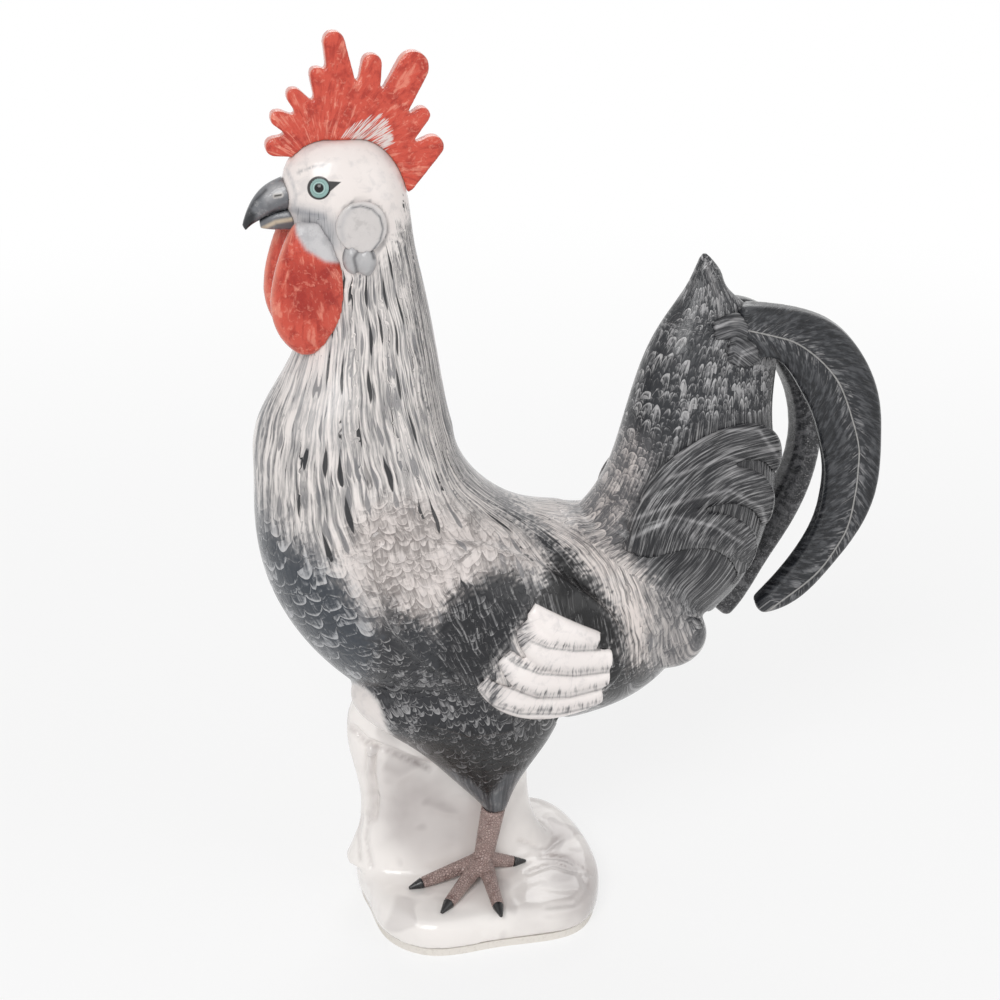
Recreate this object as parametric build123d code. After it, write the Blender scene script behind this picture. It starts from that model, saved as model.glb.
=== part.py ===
from build123d import *
import os
from math import cos, radians, sin

# A glazed ceramic rooster on a hollow rock base, cast and pressed in pieces, joined with slip and fired.
# It faces -X, its left side faces -Y and +Z is up. The origin is the middle of the underside of the base.

# Overall sizes
bird_length = 456.0  # the unit of every share along X
bird_height = 632.0  # top of the base to the tip of the comb, the unit of every share up from the base
bird_width = 176.0  # across the flanks
bird_x = -2.5  # where the bird's shares along X start, off the middle of the base
bird_y = 4.0  # the bird's middle plane, off the middle of the base
wall = 8.0  # fired clay
air_hole = 12.0  # between the hollows

# Base
base_length = 184.0
base_width = 168.0
base_height = 30.0
base_edge = 11.0  # radius of the rolled upper edge
floor_thickness = 6.0
floor_inset = 3.0  # the floor plate stands in from the edge
vent_hole = 4.0
vent_x = 40.0
vent_y = -30.0
base_outline_shares = [
    (-0.98, -0.05), (-0.96, 0.45), (-0.72, 0.92), (0.10, 1.00), (0.78, 0.88),
    (1.00, 0.20), (0.97, -0.42), (0.72, -0.90), (0.00, -0.98), (-0.62, -0.95), (-0.90, -0.62),
]

# Rock stump, in rows of height, two ends along X and two ends across, off the bird's middle plane
stump_height = 172.0
stump_length = 146.0
stump_width = 58.0
stump_x = -20.0  # its air way, down into the base
stump_y = 12.0  # its middle, off the bird's middle plane
stump_row_shares = [
    (0.00, -0.68, 0.44, -0.64, 0.62),
    (0.13, -0.61, 0.36, -0.54, 0.54),
    (0.32, -0.58, 0.32, -0.47, 0.48),
    (0.52, -0.62, 0.33, -0.48, 0.48),
    (0.70, -0.64, 0.34, -0.50, 0.50),
    (0.86, -0.57, 0.33, -0.48, 0.48),
    (1.00, -0.42, 0.28, -0.40, 0.40),
]

# Body, neck and head in one skin: each row is a place on the back, one on the breast and a half width
trunk_shares = [
    ((-0.158, 0.889), (-0.202, 0.889), 0.09),
    ((-0.116, 0.872), (-0.254, 0.877), 0.23),
    ((-0.096, 0.845), (-0.272, 0.850), 0.30),
    ((-0.087, 0.815), (-0.266, 0.815), 0.32),
    ((-0.083, 0.787), (-0.252, 0.775), 0.32),
    ((-0.076, 0.757), (-0.246, 0.741), 0.33),
    ((-0.068, 0.730), (-0.250, 0.703), 0.36),
    ((-0.057, 0.687), (-0.270, 0.658), 0.43),
    ((-0.044, 0.627), (-0.310, 0.609), 0.55),
    ((-0.028, 0.570), (-0.335, 0.541), 0.68),
    ((0.002, 0.514), (-0.337, 0.467), 0.83),
    ((0.057, 0.476), (-0.317, 0.387), 0.94),
    ((0.114, 0.456), (-0.250, 0.304), 1.00),
    ((0.171, 0.450), (-0.150, 0.243), 1.00),
    ((0.224, 0.446), (0.000, 0.204), 0.95),
    ((0.276, 0.446), (0.138, 0.193), 0.86),
    ((0.330, 0.430), (0.256, 0.212), 0.69),
    ((0.372, 0.405), (0.326, 0.250), 0.47),
    ((0.394, 0.378), (0.370, 0.297), 0.28),
    ((0.404, 0.350), (0.396, 0.326), 0.10),
]
head_seam_row = 5
neck_seam_row = 9
belly_row = 13  # where the breast ends and the rump starts
last_row = len(trunk_shares) - 1
body_air_share = (-0.08, 0.24)  # over the stump
tail_air_share = (0.255, 0.440)  # under the tail
thigh_air_share = (-0.020, 0.220)  # over each thigh

# Comb: each lobe runs from a root to the middle of its round tip, with a share for the radius of each end
comb_thickness = 12.0
comb_tip_radius = 8.0
comb_root_radius = 9.0
comb_lobe_shares = [
    ((-0.246, 0.886), (-0.281, 0.885), 0.90, 0.75),
    ((-0.232, 0.896), (-0.274, 0.914), 0.90, 0.65),
    ((-0.215, 0.905), (-0.250, 0.936), 0.90, 0.65),
    ((-0.197, 0.915), (-0.216, 0.956), 1.00, 0.65),
    ((-0.175, 0.918), (-0.191, 0.988), 1.10, 0.88),
    ((-0.149, 0.915), (-0.138, 0.965), 0.90, 0.82),
    ((-0.123, 0.905), (-0.079, 0.960), 1.20, 1.30),
    ((-0.110, 0.883), (-0.067, 0.911), 1.10, 0.65),
    ((-0.103, 0.850), (-0.052, 0.878), 1.50, 0.90),
]

# Beak
beak_width = 24.0
upper_beak_shares = [
    ((-0.241, 0.866), (-0.231, 0.819), 1.00),
    ((-0.268, 0.854), (-0.256, 0.819), 0.92),
    ((-0.296, 0.845), (-0.286, 0.814), 0.72),
    ((-0.318, 0.828), (-0.311, 0.807), 0.45),
    ((-0.332, 0.804), (-0.327, 0.798), 0.12),
]
lower_beak_shares = [
    ((-0.241, 0.826), (-0.236, 0.794), 0.85),
    ((-0.268, 0.824), (-0.264, 0.797), 0.72),
    ((-0.291, 0.818), (-0.289, 0.798), 0.50),
    ((-0.307, 0.810), (-0.306, 0.800), 0.20),
]

# Face
eye_radius = 8.0
eye_stand = 3.0  # how far the eyeball stands out
eye_place_share = (-0.221, 0.846)
ear_radius = 17.0
ear_rise = 4.0
ear_place_share = (-0.168, 0.807)
tuft_radius = 7.0
tuft_length_share = 1.5
tuft_off = 28.0  # off the middle plane
tuft_place_shares = [(-0.182, 0.774), (-0.163, 0.771)]

# Wattles: rows of height, two ends along X and a thickness
wattle_thickness = 24.0
wattle_off = 21.0  # off the middle plane
wattle_row_shares = [
    (0.812, -0.261, -0.226, 0.45),
    (0.780, -0.285, -0.199, 0.85),
    (0.745, -0.299, -0.187, 1.00),
    (0.705, -0.298, -0.194, 0.90),
    (0.680, -0.279, -0.216, 0.55),
    (0.670, -0.261, -0.239, 0.20),
]

# Wings: a pad on each flank and four rolled flight feathers on it
wing_rise = 9.0
wing_outline_shares = [
    (-0.164, 0.490), (-0.037, 0.472), (0.070, 0.437), (0.164, 0.390), (0.208, 0.334), (0.190, 0.285),
    (0.105, 0.269), (0.009, 0.285), (-0.061, 0.316), (-0.145, 0.372), (-0.180, 0.443),
]
feather_radius = 11.5
feather_rise = 8.0  # how far each roll stands out of the pad
feather_path_shares = [
    [(0.050, 0.398), (0.098, 0.368), (0.153, 0.349)],
    [(0.034, 0.384), (0.072, 0.349), (0.120, 0.331), (0.178, 0.324)],
    [(0.006, 0.352), (0.038, 0.325), (0.092, 0.305), (0.176, 0.305)],
    [(-0.028, 0.321), (0.016, 0.294), (0.092, 0.274), (0.168, 0.281)],
]
feather_radius_shares = [0.50, 1.00, 1.00, 0.75]

# Legs
leg_spread = 28.0  # each leg, off the bird's middle plane
right_step_share = 0.030  # how far the right leg stands behind the left one
thigh_width = 88.0
thigh_row_shares = [
    (0.300, -0.150, 0.150, 1.00),
    (0.203, -0.134, 0.128, 0.90),
    (0.172, -0.088, 0.104, 0.72),
    (0.130, -0.037, 0.067, 0.46),
    (0.100, -0.002, 0.050, 0.27),
    (0.088, 0.008, 0.045, 0.20),
]
thigh_hollow_rows = 4
shank_top_radius = 9.5
shank_radius = 7.5
shank_top_share = (0.026, 0.100)
ankle_share = (0.006, 0.019)
ankle_radius = 8.5
toe_radius = 6.5
toe_tip_radius = 4.5
toe_lengths = (50.0, 52.0, 50.0, 24.0)  # the last is the hind toe
toe_sink_share = 0.3  # of its radius that a toe lies in the rock
claw_length = 11.0
claw_tip_radius = 1.2

# Tail
plume_shares = [
    ((0.154, 0.427), (0.406, 0.309), 0.57),
    ((0.206, 0.468), (0.456, 0.351), 0.59),
    ((0.237, 0.516), (0.491, 0.411), 0.55),
    ((0.254, 0.563), (0.505, 0.468), 0.48),
    ((0.274, 0.614), (0.498, 0.525), 0.40),
    ((0.298, 0.655), (0.495, 0.579), 0.32),
    ((0.329, 0.690), (0.496, 0.633), 0.23),
    ((0.354, 0.719), (0.461, 0.672), 0.14),
    ((0.372, 0.736), (0.402, 0.718), 0.06),
]
plume_hollow_rows = 7
covert_radius = 15.0
covert_rise = 8.0
covert_path_shares = [
    [(0.262, 0.470), (0.340, 0.520), (0.430, 0.535), (0.490, 0.490)],
    [(0.240, 0.440), (0.310, 0.480), (0.400, 0.490), (0.470, 0.430)],
    [(0.225, 0.410), (0.290, 0.440), (0.370, 0.440), (0.430, 0.375)],
]
covert_radius_shares = [0.40, 1.00, 1.00, 0.45]
curl_radius = 11.0
curl_rise = 6.0
curl_path_shares = [
    [(0.375, 0.662), (0.410, 0.665), (0.445, 0.650)],
    [(0.395, 0.638), (0.425, 0.636), (0.455, 0.630)],
]
curl_radius_shares = [0.60, 1.00, 0.60]
sickle_thickness = 20.0
sickle_root_off = 13.0  # off the middle plane, at the roots
sickle_splay = 10.0  # degrees that they spread to the tips
sickle_rim = 5.0  # radius of its rims
sickle_left_outer_shares = [
    (0.420, 0.690), (0.507, 0.683), (0.569, 0.666), (0.620, 0.627), (0.650, 0.577),
    (0.659, 0.523), (0.656, 0.459), (0.634, 0.414), (0.594, 0.369), (0.538, 0.324), (0.482, 0.308),
]
sickle_left_inner_shares = [
    (0.420, 0.610), (0.487, 0.623), (0.520, 0.592), (0.544, 0.560), (0.559, 0.527),
    (0.570, 0.494), (0.570, 0.456), (0.564, 0.430), (0.537, 0.385), (0.504, 0.350), (0.469, 0.320),
]
sickle_right_outer_shares = [
    (0.410, 0.684), (0.493, 0.668), (0.545, 0.630), (0.580, 0.588), (0.602, 0.540),
    (0.606, 0.486), (0.591, 0.437), (0.557, 0.388), (0.513, 0.343), (0.477, 0.304), (0.445, 0.280),
]
sickle_right_inner_shares = [
    (0.410, 0.612), (0.472, 0.626), (0.512, 0.600), (0.542, 0.564), (0.558, 0.520),
    (0.555, 0.480), (0.535, 0.444), (0.498, 0.407), (0.450, 0.366), (0.422, 0.335), (0.424, 0.295),
]
rump_radius = 25.0
rump_place_share = (0.306, 0.306)
rump_off = 38.0  # off the middle plane
rump_length_share = 1.2

left, right = -1, 1
side_names = {left: "left", right: "right"}
side_keeps = {left: Keep.TOP, right: Keep.BOTTOM}
leg_steps = {left: 0, right: right_step_share}
toe_turns = {left: (190.0, 228.0, 270.0, 8.0), right: (152.0, 178.0, 204.0, -6.0)}
sickle_curves = {
    left: (sickle_left_outer_shares, sickle_left_inner_shares),
    right: (sickle_right_outer_shares, sickle_right_inner_shares),
}
parts = {}


def spot(x_share, z_share, y=0):
    """A place on the bird, y off its middle plane."""
    return Vector(bird_x + x_share * bird_length, bird_y + y, base_height + z_share * bird_height)


def oval(middle, reach, across):
    """An ellipse round a middle, with its two half axes."""
    plane = Plane(origin=middle, x_dir=reach, z_dir=reach.cross(across))
    return Wire([Edge.make_ellipse(reach.length, across.length, plane)])


def ring(one_end, other_end, half_width, grow=0, y=0):
    """An oval across the bird between two places, both grown by the same amount."""
    one, other = spot(*one_end, y=y), spot(*other_end, y=y)
    reach = (one - other) / 2
    return oval((one + other) / 2, reach + reach.normalized() * grow, Vector(0, half_width + grow, 0))


def trunk_skin(first, last, grow=0):
    """The skin of the bird from one row to another as a solid."""
    rows = trunk_shares[first : last + 1]
    return Solid.make_loft([ring(back, breast, share * bird_width / 2, grow) for back, breast, share in rows])


def body_skin(grow=0):
    return trunk_skin(neck_seam_row, belly_row, grow) + trunk_skin(belly_row, last_row, grow)


def cut(solid, *others):
    """A solid less its neighbours, so that they meet face to face."""
    for other in others:
        solid -= other
    return solid


def half_of(solid, side):
    """The half of a solid on one side of the bird's middle plane."""
    return solid.split(Plane.XZ.offset(-bird_y), keep=side_keeps[side])


def outermost(solid, x_share, z_share, side):
    """The place where a line across the bird comes out of a solid."""
    start = spot(x_share, z_share)
    line = Edge.make_line(start, start + Vector(0, side * bird_width, 0))
    ends = [vertex.center() for vertex in (line & solid).vertices()]
    return max(ends, key=lambda end: side * end.Y)


def roll(solid, path, radius, rise, radius_shares, side):
    """A rolled feather that lies along a path on a solid and stands out of it."""
    places = [outermost(solid, *share, side) for share in path]
    rings = []
    for index, place in enumerate(places):
        before = places[max(index - 1, 0)]
        after = places[min(index + 1, len(places) - 1)]
        along = (after - before).normalized()
        up = along.cross(Vector(0, side, 0)).normalized()
        out = up.cross(along)
        share = radius_shares[round(index * (len(radius_shares) - 1) / (len(places) - 1))]
        rings.append(oval(place, up * radius * share, out * rise * share))
    return Solid.make_loft(rings)


def rolls(solid, paths, radius, rise, radius_shares, side, *neighbours):
    """A group of rolls, each cut by the ones above it and by its neighbours."""
    group = []
    for path in paths:
        group.append(cut(roll(solid, path, radius, rise, radius_shares, side), solid, *neighbours, *group))
    return group


def level_lump(rows, y, thickness, shrink=0):
    """A lump lofted through level ovals, each at a height and between two ends along X."""
    rings = []
    for height, front, back, share in rows:
        one, other = spot(front, height, y), spot(back, height, y)
        reach = (other - one) / 2
        across = Vector(0, share * thickness / 2 - shrink, 0)
        rings.append(oval((one + other) / 2, reach - reach.normalized() * shrink, across))
    return Solid.make_loft(rings)


# Base: a closed outline, a rolled upper edge, a hollow and a plate under it
def base_block(shrink, low, high):
    points = [(x * (base_length / 2 - shrink), y * (base_width / 2 - shrink)) for x, y in base_outline_shares]
    return Pos(0, 0, low) * extrude(make_face(Spline(*points, periodic=True)), high - low)


def make_base():
    block = base_block(0, floor_thickness, base_height)
    block = fillet(block.edges().group_by(Axis.Z)[-1], base_edge)
    hollow = base_block(wall, floor_thickness, base_height - wall)
    air_way = Pos(bird_x + stump_x, bird_y + stump_y, base_height) * Cylinder(air_hole / 2, 4 * wall)
    parts["base_plinth"] = cut(block, hollow, air_way)
    vent = Pos(vent_x, vent_y, 0) * Cylinder(vent_hole / 2, 4 * floor_thickness)
    parts["base_floor"] = base_block(floor_inset, 0, floor_thickness) - vent


# Trunk: hollow head, neck and body, which is parted on its middle plane and has air holes to its neighbours
def make_trunk(head, neck, body):
    parts["head"] = head - trunk_skin(1, head_seam_row, -wall)
    parts["neck"] = neck - trunk_skin(head_seam_row, neck_seam_row, -wall)
    shell = cut(body, trunk_skin(neck_seam_row, belly_row, -wall), trunk_skin(belly_row, last_row - 1, -wall))
    air_places = [spot(*body_air_share), spot(*tail_air_share)]
    air_places += [spot(*thigh_air_share, side * leg_spread) for side in (left, right)]
    for place in air_places:
        shell -= Pos(*place) * Cylinder(air_hole / 2, 4 * wall)
    for side in (left, right):
        parts["body_" + side_names[side]] = half_of(shell, side)


# Comb: a plate of round-ended lobes, let into the crown and the nape
def make_comb(head, neck):
    flat = Plane(origin=(0, bird_y, 0), x_dir=(1, 0, 0), z_dir=(0, -1, 0))
    outline = Sketch()
    for root, tip, root_share, tip_share in comb_lobe_shares:
        root_at, tip_at = spot(*root), spot(*tip)
        root_round = Pos(root_at.X, root_at.Z) * Circle(comb_root_radius * root_share)
        tip_round = Pos(tip_at.X, tip_at.Z) * Circle(comb_tip_radius * tip_share)
        outline += make_hull(root_round.edges() + tip_round.edges())
    roots = [spot(*lobe[0]) for lobe in comb_lobe_shares]
    outline += make_face(Polyline([(root.X, root.Z) for root in roots], close=True))
    parts["comb"] = cut(extrude(flat * outline, comb_thickness / 2, both=True), head, neck)


# Beak: two tapered halves that meet along the mouth
def make_beak(head):
    def half(rows):
        return Solid.make_loft([ring(top, low, share * beak_width / 2) for top, low, share in rows])

    upper = half(upper_beak_shares)
    parts["upper_beak"] = upper - head
    parts["lower_beak"] = cut(half(lower_beak_shares), upper, head)


# Eye, ear lobe, the two tufts under it and the wattle, on each side of the face
def make_face_side(head, neck, side):
    name = side_names[side]
    eye_at = outermost(head, *eye_place_share, side) + Vector(0, side * (eye_stand - eye_radius), 0)
    parts["eye_" + name] = Pos(*eye_at) * Sphere(eye_radius) - head
    ear_at = spot(*ear_place_share, side * bird_width / 4)
    disc = Pos(*ear_at) * Rot(90, 0, 0) * Cylinder(ear_radius, bird_width / 2)
    ear = cut(disc & trunk_skin(1, head_seam_row, ear_rise), head)
    parts["ear_lobe_" + name] = ear
    tufts = []
    for share in tuft_place_shares:
        tuft_at = spot(*share, side * tuft_off)
        tuft = Pos(*tuft_at) * scale(Sphere(tuft_radius), (1, 1, tuft_length_share))
        tufts.append(cut(tuft, head, neck, ear, *tufts))
    parts["ear_tufts_" + name] = Compound(children=tufts)
    wattle = level_lump(wattle_row_shares, side * wattle_off, wattle_thickness)
    parts["wattle_" + name] = cut(wattle, head, neck, parts["upper_beak"], parts["lower_beak"], *tufts)


# Wing: a pad that follows the flank, and the rolled flight feathers on it
def make_wing(neck, body, side):
    name = side_names[side]
    inner_y = side * bird_width / 8
    outline = make_face(Spline(*[spot(*share, inner_y) for share in wing_outline_shares], periodic=True))
    prism = extrude(outline, bird_width, dir=(0, side, 0))
    grown = body_skin(wing_rise)
    parts["wing_" + name] = cut(prism & grown, body, neck)
    feathers = rolls(grown, feather_path_shares, feather_radius, feather_rise, feather_radius_shares, side)
    parts["wing_feathers_" + name] = Compound(children=feathers)
    return [parts["wing_" + name], *feathers]


def cone(start, end, start_radius, end_radius):
    along = end - start
    return Solid.make_cone(start_radius, end_radius, along.length, Plane(origin=start, z_dir=along))


# Leg: hollow thigh, shank, toes in relief on the rock, and claws
def make_leg(body, wings, side):
    name = side_names[side]
    y, step = side * leg_spread, leg_steps[side]
    rows = [(height, front + step, back + step, share) for height, front, back, share in thigh_row_shares]
    thigh = half_of(level_lump(rows, y, thigh_width), side)
    hollow = level_lump(rows[:thigh_hollow_rows], y, thigh_width, wall)
    parts["thigh_" + name] = cut(thigh, hollow, body, *wings)
    hock = spot(shank_top_share[0] + step, shank_top_share[1], y)
    ankle = spot(ankle_share[0] + step, ankle_share[1], y)
    ankle_ball = Pos(*ankle) * Sphere(ankle_radius)
    rock = base_block(0, 0, base_height)
    parts["shank_" + name] = cut(cone(hock, ankle, shank_top_radius, shank_radius), thigh, ankle_ball, rock)
    foot, claws = ankle_ball, []
    tip_lie = base_height + toe_tip_radius * (1 - toe_sink_share)
    for turn, length in zip(toe_turns[side], toe_lengths):
        toward = Vector(cos(radians(turn)), sin(radians(turn)), 0)
        tip = Vector(ankle.X, ankle.Y, tip_lie) + toward * length
        point = Vector(ankle.X, ankle.Y, base_height + claw_tip_radius) + toward * (length + claw_length)
        foot += cone(ankle, tip, toe_radius, toe_tip_radius)
        claws.append(cut(cone(tip, point, toe_tip_radius, claw_tip_radius), rock))
    parts["foot_" + name] = foot - rock
    parts["claws_" + name] = Compound(children=[claw - foot for claw in claws])
    return thigh


# Stump: a hollow rock from the base to the belly
def stump_block(shrink):
    rings = []
    for height, front, back, near, far in stump_row_shares:
        y = bird_y + stump_y + (near + far) * stump_width / 2
        middle = Vector(bird_x + (front + back) * stump_length / 2, y, base_height + height * stump_height)
        reach = Vector((back - front) * stump_length / 2 - shrink, 0, 0)
        rings.append(oval(middle, reach, Vector(0, (far - near) * stump_width / 2 - shrink, 0)))
    return Solid.make_loft(rings)


def make_stump(body, thighs):
    names = side_names.values()
    legs = [parts[piece + name] for piece in ("shank_", "foot_", "claws_") for name in names]
    parts["support_stump"] = cut(stump_block(0), stump_block(wall), body, *thighs, *legs)


# Tail: the hollow plume, rolled coverts, curled feathers, fluff under it and the two arched sickles
def plume_skin(rows, grow=0):
    return Solid.make_loft([ring(front, back, share * bird_width / 2, grow) for front, back, share in rows])


def sickle(outer_shares, inner_shares, side):
    """An arched feather: an outer and an inner curve from the root to the tip, with rounded rims."""
    root = spot(*outer_shares[0], side * sickle_root_off)
    turn = side * radians(sickle_splay)
    flat = Plane(origin=root, x_dir=(cos(turn), sin(turn), 0), z_dir=(sin(turn), -cos(turn), 0))
    outer = [((spot(*share) - root).X, (spot(*share) - root).Z) for share in outer_shares]
    inner = [((spot(*share) - root).X, (spot(*share) - root).Z) for share in inner_shares]
    ends = Line(outer[0], inner[0]) + Line(outer[-1], inner[-1])
    outline = make_face(Spline(*outer) + Spline(*inner) + ends)
    blade = extrude(flat * outline, sickle_thickness / 2, both=True)
    return fillet(blade.edges(), sickle_rim)


def make_tail(body):
    plume = plume_skin(plume_shares)
    parts["tail_plume"] = cut(plume, plume_skin(plume_shares[:plume_hollow_rows], -wall), body)
    for side in (left, right):
        name = side_names[side]
        coverts = rolls(
            plume, covert_path_shares, covert_radius, covert_rise, covert_radius_shares, side, body
        )
        feather = cut(sickle(*sickle_curves[side], side), plume, body, *coverts)
        curls = rolls(
            plume, curl_path_shares, curl_radius, curl_rise, curl_radius_shares, side, feather, *coverts
        )
        fluff = scale(Sphere(rump_radius), (rump_length_share, 1, 1))
        fluff = Pos(*spot(*rump_place_share, side * rump_off)) * fluff
        parts["tail_coverts_" + name] = Compound(children=coverts)
        parts["curl_" + name] = Compound(children=curls)
        parts["sickle_" + name] = feather
        parts["rump_" + name] = cut(fluff, body, plume, feather, *coverts)


def main():
    head = trunk_skin(0, head_seam_row)
    neck = trunk_skin(head_seam_row, neck_seam_row)
    body = body_skin()
    make_base()
    make_trunk(head, neck, body)
    make_comb(head, neck)
    make_beak(head)
    thighs = []
    for side in (left, right):
        make_face_side(head, neck, side)
        wings = make_wing(neck, body, side)
        thighs.append(make_leg(body, wings, side))
    make_stump(body, thighs)
    make_tail(body)
    os.makedirs("parts", exist_ok=True)
    for name, shape in parts.items():
        export_step(shape, f"parts/{name}.step")


main()
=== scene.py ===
from math import cos, pi, radians, sin

import bpy
import numpy as np
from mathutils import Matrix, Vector


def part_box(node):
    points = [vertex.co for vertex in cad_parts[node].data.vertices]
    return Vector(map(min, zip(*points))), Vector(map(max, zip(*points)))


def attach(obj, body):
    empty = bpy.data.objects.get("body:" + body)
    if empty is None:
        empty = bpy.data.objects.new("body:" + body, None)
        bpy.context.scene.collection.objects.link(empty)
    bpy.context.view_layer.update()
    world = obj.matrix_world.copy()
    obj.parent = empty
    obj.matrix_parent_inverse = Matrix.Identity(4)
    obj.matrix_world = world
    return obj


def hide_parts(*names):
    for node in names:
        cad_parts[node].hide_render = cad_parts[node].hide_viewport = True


# A glazed ceramic rooster on a white rock base, in metres and in the frame of its solids. It faces -X, its
# left side faces -Y, and the photograph looks at that side.
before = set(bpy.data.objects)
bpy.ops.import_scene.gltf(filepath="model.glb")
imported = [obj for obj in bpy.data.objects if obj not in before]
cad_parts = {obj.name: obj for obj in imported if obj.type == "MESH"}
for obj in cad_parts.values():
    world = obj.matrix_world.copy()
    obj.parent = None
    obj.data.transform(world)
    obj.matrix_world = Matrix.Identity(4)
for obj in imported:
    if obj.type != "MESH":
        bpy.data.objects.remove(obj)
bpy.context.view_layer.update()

# Camera: held a good metre off the bird's left side and above it, looking down. The painted feathers are laid
# out where the photograph shows them, so places in the paint are pixels of the photograph.
photo_size = 1000
focal_pixels = 1833.0
sensor_width = 36.0
camera_place = Vector((-0.2539, -1.1815, 0.840))
camera_turn = radians(13.0)
camera_drop = radians(22.9)
bird_y = 0.004

forward = np.array(
    [sin(camera_turn) * cos(camera_drop), cos(camera_turn) * cos(camera_drop), -sin(camera_drop)]
)
rightward = np.array([cos(camera_turn), -sin(camera_turn), 0])
upward = np.cross(rightward, forward)
bpy.ops.object.camera_add(location=camera_place, rotation=(pi / 2 - camera_drop, 0, -camera_turn))
camera = bpy.context.object
camera.data.sensor_width = sensor_width
camera.data.lens = sensor_width * focal_pixels / photo_size
bpy.context.scene.camera = camera


def folded_left(places):
    """Places on the bird's left side, for places on either side."""
    return np.column_stack([places[:, 0], bird_y - abs(places[:, 1] - bird_y), places[:, 2]])


def seen(places, folded=True):
    """Where places show in the photograph, in pixels, with the bird's right side folded onto its left."""
    away = (folded_left(places) if folded else places) - np.array(camera_place)
    depth = away @ forward
    columns = photo_size / 2 + focal_pixels * (away @ rightward) / depth
    rows = photo_size / 2 - focal_pixels * (away @ upward) / depth
    return np.stack([columns, rows], 1)


# Rock: a cast slab and a hollow stump in one white glaze, closed below by the floor plate. The slip joint
# between them is wiped smooth, and the folds of the rock are soft under the thick glaze.
rock_grain = 0.0026
rock_passes = 14
doubles_gap = 1e-6
smooth_factor = 0.5
rock_white = (253, 248, 244)
rock_shade = (178, 170, 168)
clay_tone = (234, 229, 222)
rock_ledge = [(352, 728), (366, 742), (392, 752), (430, 768)]
rock_valley = [(372, 748), (370, 775), (374, 800), (372, 818)]
rock_folds = [
    [(362, 815), (358, 835), (360, 860)],
    [(370, 812), (366, 838), (372, 868)],
]
rock_swirls = [
    [(528, 872), (553, 863), (580, 872), (589, 890), (575, 904), (548, 907)],
    [(540, 855), (566, 858), (590, 874)],
    [(520, 842), (545, 850), (560, 838)],
]
ledge_width = 9
ledge_depth = 0.0045
valley_width = 12
valley_depth = 0.006
fold_width = 4
swirl_width = 6
fold_depth = 0.002
# Zones of painted shade: the right side of the slab, and the stump below its ledge right of the valley.
rock_right_shade = [(530, 815), (566, 826), (604, 870), (604, 915), (566, 925), (556, 880)]
rock_hollow_shade = [(380, 760), (440, 778), (478, 812), (470, 850), (420, 862), (385, 842), (378, 800)]


def edit(*steps):
    """Steps of edit mode on the active piece, with all of it selected."""
    bpy.ops.object.mode_set(mode="EDIT")
    bpy.ops.mesh.select_all(action="SELECT")
    for step in steps:
        step()
    bpy.ops.object.mode_set(mode="OBJECT")


def finish_with(piece, kind, **settings):
    """A modifier, applied."""
    modifier = piece.modifiers.new(kind, kind)
    for name, setting in settings.items():
        setattr(modifier, name, setting)
    bpy.context.view_layer.objects.active = piece
    bpy.ops.object.modifier_apply(modifier=modifier.name)


def joined_copy(name, nodes):
    """Copies of CAD nodes as one mesh, with the doubles merged."""
    bpy.ops.object.select_all(action="DESELECT")
    copies = [bpy.data.objects.new(name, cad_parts[node].data.copy()) for node in nodes]
    for piece in copies:
        bpy.context.collection.objects.link(piece)
        piece.select_set(True)
    bpy.context.view_layer.objects.active = copies[0]
    if len(copies) > 1:
        bpy.ops.object.join()
    copies[0].data.materials.clear()
    edit(lambda: bpy.ops.mesh.remove_doubles(threshold=doubles_gap))
    return copies[0]


def places_of(piece):
    places = np.empty(len(piece.data.vertices) * 3)
    piece.data.vertices.foreach_get("co", places)
    return places.reshape(-1, 3)


def put_places(piece, places):
    piece.data.vertices.foreach_set("co", np.asarray(places, float).ravel())
    piece.data.update()


def put_map(piece, name, values, limit=np.inf):
    """A UV map from a pair of numbers for each vertex. A face keeps to one side of a jump over the limit."""
    corners = np.empty(len(piece.data.loops), int)
    starts = np.empty(len(piece.data.polygons), int)
    sides = np.empty(len(piece.data.polygons), int)
    piece.data.loops.foreach_get("vertex_index", corners)
    piece.data.polygons.foreach_get("loop_start", starts)
    piece.data.polygons.foreach_get("loop_total", sides)
    pairs = np.asarray(values, float)[corners]
    firsts = np.repeat(pairs[starts], sides, axis=0)
    pairs = np.where(abs(pairs - firsts) > limit, firsts, pairs)
    layer = piece.data.uv_layers.new(name=name)
    layer.data.foreach_set("uv", pairs.astype(np.float32).ravel())


def enclosed(piece):
    """The volume inside a piece, below 0 where its faces point into a hollow."""
    piece.data.calc_loop_triangles()
    corners = np.empty(len(piece.data.loop_triangles) * 3, int)
    piece.data.loop_triangles.foreach_get("vertices", corners)
    one, two, three = places_of(piece)[corners.reshape(-1, 3)].transpose(1, 0, 2)
    return np.einsum("ij,ij->", one, np.cross(two, three)) / 6


def cast_skin(name, nodes, grain, passes):
    """One closed skin over copies of CAD nodes, as glaze lies over their joints, without their hollows."""
    piece = joined_copy(name, nodes)
    finish_with(piece, "REMESH", mode="VOXEL", voxel_size=grain)
    edit(lambda: bpy.ops.mesh.separate(type="LOOSE"))
    walls = bpy.context.selected_objects[:]
    outer = [wall for wall in walls if enclosed(wall) > 0]
    for wall in set(walls) - set(outer):
        bpy.data.objects.remove(wall)
    bpy.context.view_layer.objects.active = outer[0]
    if len(outer) > 1:
        bpy.ops.object.join()
    piece = bpy.context.object
    piece.name = name
    finish_with(piece, "SMOOTH", factor=smooth_factor, iterations=passes)
    bpy.ops.object.shade_smooth()
    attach(piece, "root")
    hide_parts(*nodes)
    return piece


def linear(colour):
    """A colour as the eye reads it, 0 to 255, as light."""
    share = np.array(colour, float) / 255
    return np.where(share <= 0.04045, share / 12.92, ((share + 0.055) / 1.055) ** 2.4)


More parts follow.
